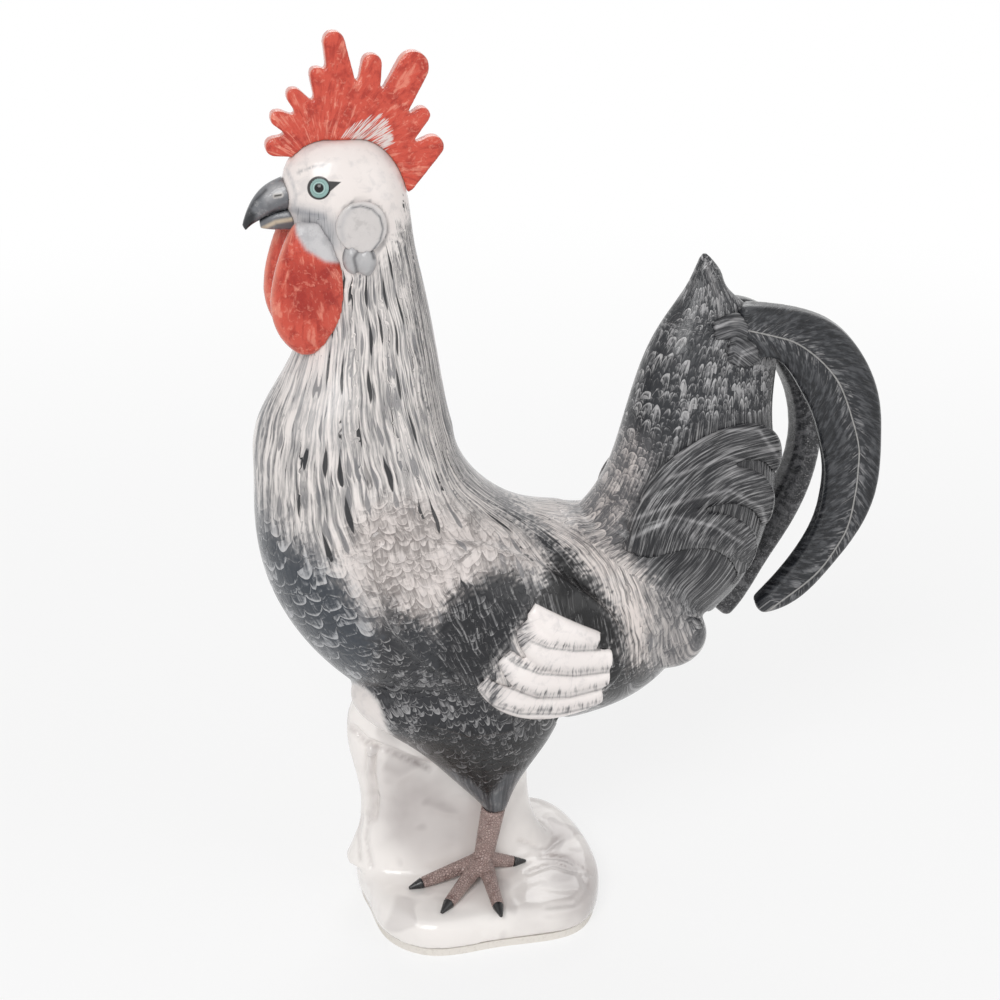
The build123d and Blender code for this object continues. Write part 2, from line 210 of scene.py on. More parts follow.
def gap_to(view, start, side):
    share = np.clip((view - start) @ side / (side @ side), 0, 1)
    return np.linalg.norm(view - start - share[:, None] * side, axis=1)


def eased(share):
    share = np.clip(share, 0, 1)
    return share * share * (3 - 2 * share)


def everywhere(view):
    return np.ones(len(view))


def patch(outline, soft):
    """1 inside an outline on the photograph and 0 outside."""

    def share(view):
        nearest = np.full(len(view), np.inf)
        crossings = np.zeros(len(view), int)
        corners = np.array(outline, float)
        for start, end in zip(corners, np.roll(corners, -1, axis=0)):
            side = end - start
            nearest = np.minimum(nearest, gap_to(view, start, side))
            spans = (start[1] > view[:, 1]) != (end[1] > view[:, 1])
            level = start[0] + (view[:, 1] - start[1]) * side[0] / (side[1] or 1)
            crossings += spans & (view[:, 0] < level)
        return eased(np.where(crossings % 2, nearest, -nearest) / (2 * soft) + 0.5)

    return share


def band(path, width, soft):
    """1 along a path on the photograph and 0 away from it."""

    def share(view):
        corners = np.array(path, float)
        gaps = [gap_to(view, start, end - start) for start, end in zip(corners, corners[1:])]
        return eased((width / 2 - np.min(gaps, axis=0)) / soft + 0.5)

    return share


def disc(middle, radius, soft):
    """1 inside a circle on the photograph and 0 outside."""
    return lambda view: eased((radius - np.linalg.norm(view - middle, axis=1)) / soft + 0.5)


def coat(where, light, ink=(0, 0, 0), share=0.0, scaly=0.0, fine=0.0, drops=0.0):
    """A coat of paint: where it lies, its light and dark pigment, how much of the dark one, and its marks."""
    return where, np.array([*linear(light), *linear(ink), share, scaly, fine, drops])


def paint(piece, coats, folded=True, ragged=0.0, crisp=()):
    """Coats of paint on a piece, kept at its vertices: ragged ones, and crisp ones over them."""
    view = seen(places_of(piece), folded)
    put_map(piece, "view", view / photo_size)
    shaken = view + np.random.default_rng(2).normal(0, ragged, view.shape) if ragged else view
    mixed = np.zeros((len(view), 10))
    for places, laid in ((shaken, coats), (view, crisp)):
        for where, values in laid:
            share = where(places)[:, None]
            mixed = mixed * (1 - share) + values * share
    full = np.ones((len(view), 1))
    for name, values in (
        ("light", np.hstack([mixed[:, :3], full])),
        ("ink", np.hstack([mixed[:, 3:6], full])),
        ("marks", mixed[:, 6:]),
    ):
        layer = piece.data.attributes.new(name, "FLOAT_COLOR", "POINT")
        layer.data.foreach_set("color", values.astype(np.float32).ravel())


def pressed(piece, path, width, depth, folded=True):
    """A soft groove in a piece along a path on the photograph, or a ridge where the depth is below zero."""
    places = places_of(piece)
    normals = np.empty(len(places) * 3, np.float32)
    piece.data.vertices.foreach_get("normal", normals)
    share = band(path, 0, 2 * width)(seen(places, folded)) * 2
    put_places(piece, places - normals.reshape(-1, 3) * eased(share)[:, None] * depth)


class Tint:
    """A value or colour in a glaze: sums and products of such values add the nodes for them."""

    def __init__(self, tree, socket):
        self.tree, self.socket = tree, socket

    def node(self, kind, settings, inputs, output=0):
        """Any node: its settings first, and then the values or links of its sockets."""
        made = self.tree.nodes.new("ShaderNode" + kind)
        for name, setting in settings.items():
            setattr(made, name, setting)
        for key, value in inputs.items():
            if isinstance(value, Tint):
                self.tree.links.new(value.socket, made.inputs[key])
            else:
                made.inputs[key].default_value = value
        return Tint(self.tree, made.outputs[output])

    def math(self, operation, *others):
        inputs = dict(enumerate((self, *others)))
        return self.node("Math", {"operation": operation}, inputs)

    def __add__(self, other):
        return self.math("ADD", other)

    def __radd__(self, other):
        return self.math("ADD", other)

    def __sub__(self, other):
        return self.math("SUBTRACT", other)

    def __rsub__(self, other):
        return self.node("Math", {"operation": "SUBTRACT"}, {0: other, 1: self})

    def __mul__(self, other):
        return self.math("MULTIPLY", other)

    def __rmul__(self, other):
        return self.math("MULTIPLY", other)

    def step(self, low, high):
        """0 below one bound and 1 above the other, with a smooth way between."""
        inputs = {"Value": self, "From Min": low, "From Max": high}
        return self.node("MapRange", {"interpolation_type": "SMOOTHSTEP"}, inputs)

    def under(self, colour, mask):
        """This colour with another laid over it where the mask is 1."""
        laid = colour if isinstance(colour, Tint) else (*linear(colour), 1)
        return self.node("Mix", {"data_type": "RGBA"}, {0: mask, 6: self, 7: laid}, 2)

    def noise(self, scale, detail=2.0, roughness=0.5, distortion=0.0):
        inputs = {"Vector": self, "Scale": scale, "Detail": detail}
        inputs |= {"Roughness": roughness, "Distortion": distortion}
        return self.node("TexNoise", {}, inputs)

    def joined(self, other, third=0.0):
        return self.node("CombineXYZ", {}, {0: self, 1: other, 2: third})

    def map(self, name):
        """The two numbers of a UV map."""
        pair = self.node("UVMap", {"uv_map": name}, {})
        return [pair.node("SeparateXYZ", {}, {0: pair}, axis) for axis in (0, 1)]

    def painted(self):
        """The coats on a piece: light pigment, dark pigment, and the four marks."""
        light = self.node("Attribute", {"attribute_name": "light"}, {})
        ink = self.node("Attribute", {"attribute_name": "ink"}, {})
        marks = self.node("Attribute", {"attribute_name": "marks"}, {})
        shares = [marks.node("SeparateColor", {}, {0: marks}, channel) for channel in range(3)]
        drops = Tint(self.tree, marks.socket.node.outputs["Alpha"])
        return light, ink, [*shares, drops]


def new_glaze(name, gloss=0.2, coat_share=0.25):
    """A glazed finish: its material, its shader and a place on the surface."""
    glaze = bpy.data.materials.new(name)
    glaze.use_nodes = True
    shader = glaze.node_tree.nodes["Principled BSDF"]
    shader.inputs["Roughness"].default_value = gloss
    shader.inputs["Specular IOR Level"].default_value = 0.3
    shader.inputs["Coat Weight"].default_value = coat_share
    shader.inputs["Coat Roughness"].default_value = 0.05
    place = Tint(glaze.node_tree, None).node("TexCoord", {}, {}, "Object")
    return glaze, shader, place


def link(shader, colour, height, depth):
    """Colour on the shader, and a height that it takes as relief of a depth."""
    colour.tree.links.new(colour.socket, shader.inputs["Base Color"])
    bump = height.node("Bump", {}, {"Height": height, "Distance": depth})
    colour.tree.links.new(bump.socket, shader.inputs["Normal"])


def rock_glaze():
    glaze, shader, place = new_glaze("rock_glaze", gloss=0.12, coat_share=0.5)
    light, ink, marks = place.painted()
    cloud = place.noise(16.0, 3.0)
    folds = place.noise(24.0, 1.0, 0.4, 0.8)
    shade = marks[0] + (cloud.step(0.46, 0.75) + folds.step(0.6, 0.7)) * 0.3
    link(shader, light.under(ink, shade.math("MINIMUM", 1.0)), folds, depth=0.005)
    return glaze


def clay():
    bare, shader, place = new_glaze("bare_clay", gloss=0.8, coat_share=0.0)
    tone = place.node("RGB", {}, {})
    tone.socket.default_value = (*linear(clay_tone), 1)
    speck = place.noise(400.0, 3.0)
    link(shader, tone.under((206, 199, 190), speck.step(0.5, 0.7) * 0.3), speck, depth=0.0001)
    return bare


rock = cast_skin("rock_base", ["base_plinth", "support_stump"], rock_grain, rock_passes)
for path, width, depth in (
    (rock_ledge, ledge_width, ledge_depth), (rock_valley, valley_width, valley_depth),
    *((fold, fold_width, fold_depth) for fold in rock_folds),
    *((swirl, swirl_width, fold_depth) for swirl in rock_swirls),
):
    pressed(rock, path, width, depth, folded=False)
rock_coats = [
    coat(everywhere, rock_white, rock_shade, 0.05),
    # Painted shade in rock_shade: the stump below its ledge, and the right side of the slab.
    coat(patch(rock_hollow_shade, 22), rock_white, rock_shade, 0.6),
    coat(patch(rock_right_shade, 18), rock_white, rock_shade, 0.55),
    # Painted shade in the pressed valley, under the ledge and along the folds and swirls.
    coat(band(rock_valley, 4, 14), rock_white, rock_shade, 0.6),
    coat(band(rock_ledge, 3, 8), rock_white, rock_shade, 0.75),
    *(coat(band(path, 1, 5), rock_white, rock_shade, 0.6) for path in (*rock_folds, *rock_swirls)),
]
paint(rock, rock_coats, folded=False)
rock.data.materials.append(rock_glaze())
floor_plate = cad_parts["base_floor"]
floor_plate.data.materials.clear()
floor_plate.data.materials.append(clay())

# Bird: head, neck, body, thighs and tail plume are hollow castings joined with slip, and the wing pads and
# the fluff of the rump are laid on them. One glaze goes over all, with the feathers painted under it.
bird_length = 0.456
bird_height = 0.632
bird_x = -0.0025
base_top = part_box("base_plinth")[1].z
bird_nodes = ["head", "neck", "tail_plume"]
bird_nodes += [node + side for node in ("body_", "wing_", "rump_", "thigh_") for side in ("left", "right")]
bird_grain = 0.0024
bird_passes = 8
trunk_lines = [
    [
        (290, 200), (285, 300), (283, 360), (262, 410), (254, 460), (254, 520), (264, 580), (290, 630),
        (340, 686), (392, 742),
    ],
    [
        (310, 150), (318, 250), (318, 350), (306, 420), (300, 480), (304, 540), (324, 600), (362, 655),
        (434, 755),
    ],
    [
        (335, 145), (348, 250), (350, 330), (352, 400), (360, 470), (380, 550), (412, 630), (455, 700),
        (484, 790),
    ],
    [
        (355, 140), (376, 240), (390, 320), (402, 400), (424, 480), (448, 560), (474, 640), (500, 700),
        (520, 760),
    ],
    [
        (375, 142), (396, 220), (410, 290), (424, 360), (438, 430), (454, 480), (480, 512), (506, 540),
        (532, 605), (552, 680), (556, 730),
    ],
    [
        (386, 148), (407, 220), (421, 290), (433, 360), (447, 430), (462, 471), (486, 492), (522, 514),
        (560, 542), (590, 580), (602, 630), (608, 700),
    ],
    [
        (396, 156), (413, 220), (425, 280), (437, 340), (453, 425), (470, 462), (492, 484), (524, 502),
        (560, 514), (606, 540), (638, 600), (648, 680),
    ],
    [
        (402, 154), (418, 214), (430, 280), (441, 335), (450, 382), (462, 434), (476, 458), (502, 481),
        (526, 494), (555, 500), (584, 500), (628, 528), (676, 580), (704, 640),
    ],
]
line_columns = 4.4
line_corners = 40
line_steps = 60
line_reach = 6
line_slack = 1
curve_steps = 30
plume_spine = [
    (0.270, 0.370), (0.331, 0.410), (0.364, 0.463), (0.382, 0.515), (0.390, 0.570), (0.397, 0.617),
    (0.412, 0.661), (0.405, 0.697), (0.374, 0.740),
]
spine_steps = 240
plume_columns = 60
plume_root = ((0.150, 0.450), (0.420, 0.300))
plume_tip = (0.376, 0.742)
tip_reach = 0.030
tip_rise = 0.006
thigh_spine = [(0.000, 0.260), (0.010, 0.200), (0.015, 0.150), (0.024, 0.088)]
thigh_columns = 36
thigh_top = 0.196
feather_length = 0.016
seam_jump = 3.0


def spot(x_share, z_share):
    """A place on the middle plane of the bird."""
    return Vector((bird_x + x_share * bird_length, bird_y, base_top + z_share * bird_height))


def smooth_path(points, count):
    """Evenly spread places on a smooth curve through points."""
    points = np.array(points, float)
    ends = [2 * points[0] - points[1], *points, 2 * points[-1] - points[-2]]
    dense = []
    for before, start, end, after in zip(ends, ends[1:], ends[2:], ends[3:]):
        for t in np.linspace(0, 1, curve_steps, endpoint=False):
            bend = (2 * before - 5 * start + 4 * end - after) * t**2
            bend += (3 * (start - end) + after - before) * t**3
            dense.append(start + ((end - before) * t + bend) / 2)
    dense = np.array([*dense, points[-1]])
    run = np.concatenate([[0], np.cumsum(np.linalg.norm(np.diff(dense, axis=0), axis=1))])
    even = np.linspace(0, run[-1], count)
    return np.stack([np.interp(even, run, axis) for axis in dense.T], 1), run[-1]


def round_spine(places, spine, columns):
    """How far round a spine, from its back to its front, and along it places lie, in feathers."""
    line, length = smooth_path([spot(*share) for share in spine], spine_steps)
    alongs = np.gradient(line, axis=0)
    alongs /= np.linalg.norm(alongs, axis=1)[:, None]
    flat = line[:, [0, 2]].astype(np.float32)
    gaps = places[:, None, [0, 2]].astype(np.float32) - flat
    near = (gaps**2).sum(2).argmin(1)
    away = places - line[near]
    ahead = alongs[near]
    inward = np.cross(ahead, (0, 1, 0))
    turns = np.arctan2(away[:, 1], (away * inward).sum(1)) / (2 * pi)
    along = near * length / (len(line) - 1) + (away * ahead).sum(1)
    return np.column_stack([turns * columns, along / feather_length])


def between_lines(places, lines):
    """How far across lines on the skin and along them places lie, in feathers."""
    view = seen(places)
    depths = (places - np.array(camera_place)) @ forward
    gaps, alongs = [], []
    for line in lines:
        corners = []
        for corner in smooth_path(line, line_corners)[0]:
            off = np.linalg.norm(view - corner, axis=1)
            near = off < max(line_reach, off.min() + line_slack)
            corners.append(places[near][depths[near].argmin()])
        line, length = smooth_path(corners, line_steps)
        starts, sides = line[:-1], np.diff(line, axis=0)
        spans = (sides**2).sum(1)
        away = places[:, None] - starts
        shares = np.clip((away * sides).sum(2) / spans, 0, 1)
        off = np.linalg.norm(away - shares[..., None] * sides, axis=2)
        near = off.argmin(1)
        each = np.arange(len(places))
        gaps.append(off[each, near])
        alongs.append((near + shares[each, near]) * length / len(starts))
    gaps, alongs = np.array(gaps), np.array(alongs)
    one = gaps.argmin(0)
    left, right = np.maximum(one - 1, 0), np.minimum(one + 1, len(lines) - 1)
    each = np.arange(len(places))
    gap_left = np.where(left < one, gaps[left, each], np.inf)
    gap_right = np.where(right > one, gaps[right, each], np.inf)
    other = np.where(gap_left < gap_right, left, right)
    share = gaps[one, each] / (gaps[one, each] + gaps[other, each])
    across = (one + share * (other - one)) * line_columns
    along = alongs[one, each] * (1 - share) + alongs[other, each] * share
    return np.column_stack([across, along / feather_length])


def lay_feathers(piece):
    """Feathers that run down the trunk, up the plume and down the thighs."""
    places = folded_left(places_of(piece))
    shares = (places[:, [0, 2]] - [spot(0, 0).x, base_top]) / [bird_length, bird_height]
    start, end = np.array(plume_root)
    side = end - start
    over = side[0] * (shares[:, 1] - start[1]) - side[1] * (shares[:, 0] - start[0])
    flow = between_lines(places, trunk_lines)
    on_plume = (over > 0) & (shares[:, 0] > start[0])
    flow[on_plume] = round_spine(places[on_plume], plume_spine, plume_columns)
    on_thigh = shares[:, 1] < thigh_top
    flow[on_thigh] = round_spine(places[on_thigh], thigh_spine, thigh_columns)
    put_map(piece, "flow", flow, limit=seam_jump)


bird = cast_skin("bird_skin", bird_nodes, bird_grain, bird_passes)
bird_places = places_of(bird)
tip_gaps = np.linalg.norm(bird_places - spot(*plume_tip), axis=1)
bird_places[:, 2] += tip_rise * eased(1 - tip_gaps / tip_reach)
put_places(bird, bird_places)
lay_feathers(bird)

# Plumage: two pigments brushed on in coats, a dark one in hairs, drops and feather tips over a light one. The
# places of the coats are pixels of the photograph, and the right side of the bird mirrors the left.
warm_white = (236, 229, 225)
face_white = (238, 230, 226)
taupe = (216, 207, 203)
silver = (168, 167, 168)
lead = (104, 103, 105)
slate = (54, 60, 68)
soot = (28, 29, 33)
jet = (16, 17, 20)
wing_edge = [(392, 575), (400, 622), (425, 652), (462, 682), (520, 712), (580, 724)]
thigh_fold = [(430, 722), (470, 734), (518, 728)]
throat = [(296, 345), (345, 340), (352, 400), (335, 450), (300, 440), (285, 400)]
breast_edge = [(262, 400), (254, 450), (254, 520), (264, 570)]
nape_edge = [(413, 234), (424, 280), (438, 360), (456, 440), (490, 494), (560, 504)]
face = [(250, 100), (420, 110), (418, 198), (396, 234), (372, 258), (345, 278), (280, 262)]
cheek = [(294, 206), (322, 211), (338, 222), (342, 246), (326, 258), (303, 250), (294, 232)]
gape = [(293, 210), (308, 213), (324, 217)]
# A grey band along the crown, under the comb, as painted shade.
crown = [(288, 152), (310, 143), (340, 134), (372, 138), (392, 160)]
brow = [(297, 174), (304, 169), (313, 167), (326, 165)]
breast = [
    (240, 498), (264, 516), (292, 544), (322, 560), (344, 584), (366, 612), (388, 650), (396, 700),
    (240, 700),
]
belly = [
    (362, 712), (372, 650), (390, 600), (404, 634), (430, 660), (470, 690), (530, 716), (600, 714),
    (640, 668), (720, 655), (720, 800), (560, 850), (420, 850),
]
shoulder = [
    (380, 498), (440, 498), (510, 530), (545, 562), (500, 582), (450, 600), (424, 640), (396, 628),
    (366, 598), (344, 562), (354, 520),
]
wing_front = [
    (446, 606), (460, 590), (483, 577), (507, 568), (522, 577), (535, 590), (532, 612), (520, 626),
    (512, 645), (498, 664), (480, 690), (450, 684), (440, 660), (436, 632),
]
wing_low = [
    (394, 610), (425, 622), (446, 640), (474, 668), (486, 700), (462, 696), (430, 676), (402, 646),
]
wing_rear = [
    (533, 594), (550, 577), (554, 545), (574, 560), (596, 585), (614, 613), (624, 636), (622, 656),
    (606, 656), (596, 644), (570, 632), (548, 624), (536, 612),
]
stripe = [(503, 498), (520, 513), (540, 535), (562, 560)]
saddle = [
    (508, 490), (560, 498), (603, 526), (634, 545), (650, 575), (654, 615), (650, 668), (630, 664),
    (624, 634), (608, 598), (582, 560), (545, 522),
]
fluff = [(648, 572), (675, 588), (706, 615), (706, 650), (680, 672), (652, 672), (650, 620)]
under_wing = [
    (604, 655), (626, 655), (660, 668), (690, 668), (640, 720), (560, 735), (520, 712), (600, 706),
]
tail = [
    (575, 520), (600, 440), (668, 230), (800, 230), (920, 300), (920, 640), (700, 640), (650, 570),
    (610, 545),
]
tail_front = [(560, 520), (590, 478), (628, 430), (652, 450), (645, 530), (620, 556), (585, 540)]
tail_ridge = [(706, 262), (716, 290), (722, 318)]
covert_bed = [
    (622, 540), (640, 480), (690, 425), (790, 410), (790, 560), (730, 625), (680, 600), (650, 575),
]
thigh = [(420, 730), (500, 735), (560, 728), (600, 715), (560, 790), (500, 830), (440, 800)]
# The rock's white toned down as painted shade, for the bird's skin where it is painted like the rock.
rock_white_in_shade = (232, 225, 221)
rock_rise = [
    (330, 676), (364, 687), (378, 702), (386, 726), (398, 749), (424, 772), (440, 790), (330, 780),
]
beak_root = [(287, 170), (293, 184), (296, 196), (293, 210)]
lobe_edge = [
    (345, 208), (355, 201), (367, 201), (378, 207), (385, 218), (387, 230), (384, 243), (377, 252),
]
thigh_end = [
    (440, 766), (470, 780), (488, 798), (506, 774), (524, 770), (512, 806), (498, 822), (478, 812),
]
feather_shake = 4.5
groove_width = 7
groove_depth = 0.0025
fluff_width = 5
fluff_height = 0.0025
eye_middle = (319, 188)
eye_rim = 12.3
eye_corner = ((326, 187), (341, 182))

plumage = [
    coat(everywhere, warm_white, (126, 125, 126), 0.47, drops=1.0, fine=0.4),
    coat(patch(throat, 22), warm_white, silver, 0.44, drops=0.3, fine=0.4),
    coat(patch(face, 20), face_white, silver, -0.3, fine=1.0),
    coat(band(nape_edge, 32, 20), warm_white, (82, 82, 85), 0.6),
    coat(band(breast_edge, 12, 34), warm_white, (78, 81, 87), 0.58, drops=0.9),
    coat(patch(breast, 22), (182, 183, 186), slate, 0.62, scaly=0.9, fine=0.15),
    coat(patch(shoulder, 20), (224, 215, 211), (148, 141, 138), 0.36, scaly=0.8, fine=0.4, drops=0.25),
    coat(patch(belly, 14), (166, 165, 166), (42, 43, 47), 0.64, scaly=0.9, fine=1.0),
    coat(patch(thigh, 16), (124, 123, 125), (10, 11, 14), 0.8, scaly=0.9, fine=1.0),
    coat(patch(under_wing, 9), silver, jet, 0.84, scaly=0.5, fine=1.0),
    coat(patch(wing_low, 10), silver, (48, 50, 54), 0.68, scaly=0.8, fine=0.5),
    coat(patch(wing_front, 10), silver, soot, 0.8, scaly=0.4, fine=0.9),
    coat(patch(saddle, 10), (228, 218, 213), (140, 135, 133), 0.44, fine=1.0),
    coat(band(stripe, 9, 10), silver, (62, 63, 66), 0.72, fine=0.5),
    coat(patch(wing_rear, 8), silver, (8, 8, 10), 0.97, scaly=0.1, fine=0.9),
    coat(patch(fluff, 14), (190, 184, 181), lead, 0.5, scaly=0.4, fine=0.8),
    coat(patch(tail, 14), (182, 181, 182), (40, 42, 46), 0.56, scaly=0.85, fine=0.35),
    coat(patch(tail_front, 20), taupe, lead, 0.48, scaly=0.7, fine=0.35),
    coat(patch(covert_bed, 12), silver, soot, 0.74, fine=0.6),
]
fine_paint = [
    coat(patch(cheek, 11), (180, 179, 181), (124, 126, 132), 0.22, fine=1.0),
    coat(band(gape, 3, 8), (128, 132, 140), lead, 0.2, fine=1.0),
    # Painted shade along the crown, under the comb.
    coat(band(crown, 4, 16), (196, 193, 192), lead, -0.1, fine=1.0),
    coat(band(brow, 1, 3), (150, 150, 152), lead, -0.2, fine=1.0),
    coat(band(beak_root, 1, 6), (176, 176, 179), lead, -0.2, fine=1.0),
    coat(band(lobe_edge, 2, 4), (104, 106, 110), lead, -0.2, fine=1.0),
    coat(band(tail_ridge, 2, 6), (170, 168, 168), lead, 0.4, fine=0.5),
    coat(patch(thigh_end, 4), (98, 101, 105), (70, 73, 77), 0.5),
    # Painted like the rock, in its white toned down as painted shade.
    coat(patch(rock_rise, 3), rock_white_in_shade, rock_shade, -0.2, fine=1.0),
]


def chance(x, y, seed):
    """A random share for each cell."""
    return x.node("TexWhiteNoise", {"noise_dimensions": "3D"}, {"Vector": x.joined(y, seed)})


def drop_marks(across, along, width, fullness, seed):
    """Drops that run down the feathers, pointed above and round below, each in its own place."""
    column = across.math("FLOOR")
    offset = along + chance(column, 0.0, seed) * 3.7
    row = offset.math("FLOOR")
    drawn = (fullness - chance(column, row, seed + 1)).step(0.0, 0.08)
    shift = (chance(column, row, seed + 2) - 0.5) * 0.5
    off = (across - column - 0.5 + shift).math("ABSOLUTE")
    down = offset - row
    return (down * down * (1 - down) * 6.75 * width - off).step(0.0, 0.05) * drawn


def feather_tips(across, along, seed):
    """Overlapping round feather tips: how dark the paint is on each, and its pale rim."""
    cell = across.joined(along, seed)
    across = across + (cell.noise(0.7, 1.0) - 0.5) * 0.6
    along = along + (along.joined(across, seed).noise(0.6, 1.0) - 0.5) * 1.2
    row = along.math("FLOOR")
    odd = (row * 0.5).math("FRACT")
    column = across + 0.5 - odd
    over = column.math("FRACT") - 0.5
    inside = (1 - over * over * 4).math("SQRT") * 0.66 - (along - row)
    on_upper = inside.step(-0.02, 0.02)
    rim = on_upper * (1 - inside.step(0.03, 0.26))
    shadow = (1 - on_upper) * inside.step(-0.4, 0.0)
    tone = chance(column.math("FLOOR"), row - on_upper.math("ROUND"), seed)
    return tone * 0.75 + 0.26 - rim * 0.45 + shadow * 0.3, rim


def gap_to_line(view, start, end):
    """How far places on the photograph lie from a line, in pixels."""
    side = Vector((*end, 0)) - Vector((*start, 0))
    away = view.node("VectorMath", {"operation": "SUBTRACT"}, {0: view, 1: (*start, 0)})
    share = away.node("VectorMath", {"operation": "DOT_PRODUCT"}, {0: away, 1: side / side.length_squared}, 1)
    held = share.math("MAXIMUM", 0.0).math("MINIMUM", 1.0)
    nearest = held.node("VectorMath", {"operation": "SCALE"}, {0: side, 3: held})
    return away.node("VectorMath", {"operation": "DISTANCE"}, {0: away, 1: nearest}, 1), held


def feather_glaze():
    """Feathers painted under a clear glaze: the dark pigment in hairs, tips and drops over the light one."""
    glaze, shader, place = new_glaze("feather_glaze")
    light, ink, (share, scaly, fine, drops) = place.painted()
    across, along = place.map("flow")
    across = across + (place.noise(40.0, 2.0) - 0.5) * 0.3
    cloud = place.noise(45.0, 4.0, 0.6)
    coarse_hair = (across * 2.6).joined(along * 0.3).noise(1.0, 5.0, 0.62, 0.12)
    fine_hair = (across * 4.4).joined(along * 0.6, 5.0).noise(1.0, 4.0, 0.62, 0.25)
    hair = coarse_hair * (1 - fine) + fine_hair * fine
    wide_tips, wide_rim = feather_tips(across * 0.8, along * 1.5, 3.0)
    small_tips, small_rim = feather_tips(across * 1.4, along * 2.7, 8.0)
    tips = wide_tips * (1 - fine) + small_tips * fine
    rim = (wide_rim * (1 - fine) + small_rim * fine) * scaly
    tipped = tips + (fine_hair - 0.5) * 0.9 + (cloud - 0.5) * 0.5
    spread = hair.step(0.3, 0.7) * (1 - scaly) + tipped * scaly
    blur = 0.4 - scaly * 0.16
    dark = (spread + share - 1).step(0 - blur, blur)
    dense = share.math("MAXIMUM", 0.0)
    thin = fine_hair.step(0.58, 0.68) * dense * (1 - dense) * (1 - scaly)
    smudge = place.noise(110.0, 4.0, 0.6, 0.4)

    colour = light.under((250, 247, 244), cloud.step(0.5, 0.75) * 0.25)
    colour = colour.under((178, 175, 176), smudge.step(0.48, 0.7) * 0.28)
    colour = colour.under(ink, dark).under((52, 52, 55), thin * 3.0)
    colour = colour.under((16, 17, 20), (cloud.step(0.5, 0.7) * share - 0.4).step(0.0, 0.8) * 0.6)
    pale_drop = drop_marks(across * 0.9 + 0.4, along * 0.7, 0.2, drops * 0.6, 21.0)
    colour = colour.under((112, 112, 115), pale_drop * 0.75)
    drop = drop_marks(across * 0.6, along * 0.52, 0.15, drops * 0.6, 11.0)
    colour = colour.under((30, 32, 36), drop * 0.95)

    view = place.node("UVMap", {"uv_map": "view"}, {})
    view = view.node("VectorMath", {"operation": "SCALE"}, {0: view, 3: float(photo_size)})
    ring = view.node("VectorMath", {"operation": "DISTANCE"}, {0: view, 1: (*eye_middle, 0)}, 1)
    corner, down = gap_to_line(view, *eye_corner)
    lid = 1 - (corner + down * 6.5).step(6.0, 7.2)
    outline = (1 - ring.step(eye_rim - 1.0, eye_rim)).math("MAXIMUM", lid)
    colour = colour.under((22, 24, 27), outline * 0.95)

    height = hair * dense * (1 - fine * 0.5) - rim * 0.4 - drop * 0.2
    link(shader, colour, height, depth=0.0016)
    return glaze


feathers = feather_glaze()
pressed(bird, wing_edge, groove_width, groove_depth)
pressed(bird, thigh_fold, fluff_width, -fluff_height)
paint(bird, plumage, ragged=feather_shake, crisp=fine_paint)
bird.data.materials.append(feathers)


def run_along(piece, path, width, length, folded=True, crosswise=False):
    """Feathers that run along a path on the photograph, or across it: where each place lies, in feathers."""
    view = seen(places_of(piece), folded)
    line, _ = smooth_path(path, line_steps)
    starts, sides = line[:-1], np.diff(line, axis=0)
    spans = np.linalg.norm(sides, axis=1)
    shares = np.clip(((view[:, None] - starts) * sides).sum(2) / spans**2, 0, 1)
    gaps = view[:, None] - starts - shares[..., None] * sides
    near = np.linalg.norm(gaps, axis=2).argmin(1)
    each = np.arange(len(view))
    gap, side = gaps[each, near], sides[near] / spans[near, None]
    across = side[:, 0] * gap[:, 1] - side[:, 1] * gap[:, 0]
    along = (near + shares[each, near]) * spans[near]
    across, along = (along, across) if crosswise else (across, along)
    put_map(piece, "flow", np.column_stack([across / width, along / length]))


# Coverts, flight feathers and curls: clay rolls laid on while the clay is soft. The flight feathers are left
# white, with grey hairs brushed in along their lower rims.
roll_passes = 5
hair_sizes = {"tail_coverts_": (7.0, 22.0), "wing_feathers_": (12.0, 14.0), "curl_": (7.0, 22.0)}
covert_path = [(625, 600), (650, 510), (710, 450), (790, 425)]
covert_ridges = [
    [(675, 457), (720, 430), (759, 430), (780, 460)],
    [(627, 511), (669, 478), (726, 457), (768, 466), (780, 490)],
    [(630, 520), (681, 502), (729, 490), (762, 508), (768, 532)],
    [(633, 538), (675, 517), (714, 526), (744, 544)],
]
roll_white = (247, 240, 237)
roll_cream = (222, 215, 212)
roll_shade = (214, 208, 206)
# A grey line of painted shade in the gaps between the rolls.
roll_gap_shade = (130, 128, 128)
roll_hatch = 4
roll_path = [(500, 610), (520, 650), (560, 675), (620, 680)]
roll_rims = [
    [(516, 628), (530, 641), (548, 648), (575, 651), (600, 650)],
    [(500, 652), (517, 665), (540, 674), (575, 676), (610, 672)],
    [(490, 672), (510, 688), (537, 698), (570, 697), (606, 688)],
    [(480, 690), (494, 706), (520, 714), (560, 714), (600, 705)],
]
roll_ends = [
    [(500, 644), (522, 606), (532, 636), (520, 656)],
    [(474, 692), (492, 652), (510, 676), (500, 706)],
]
curl_path = [(705, 330), (740, 322), (775, 345)]
curl_edges = [
    [(716, 328), (735, 319), (754, 320), (762, 332), (757, 346), (742, 352)],
    [(736, 372), (741, 356), (760, 350), (776, 356), (778, 368)],
]

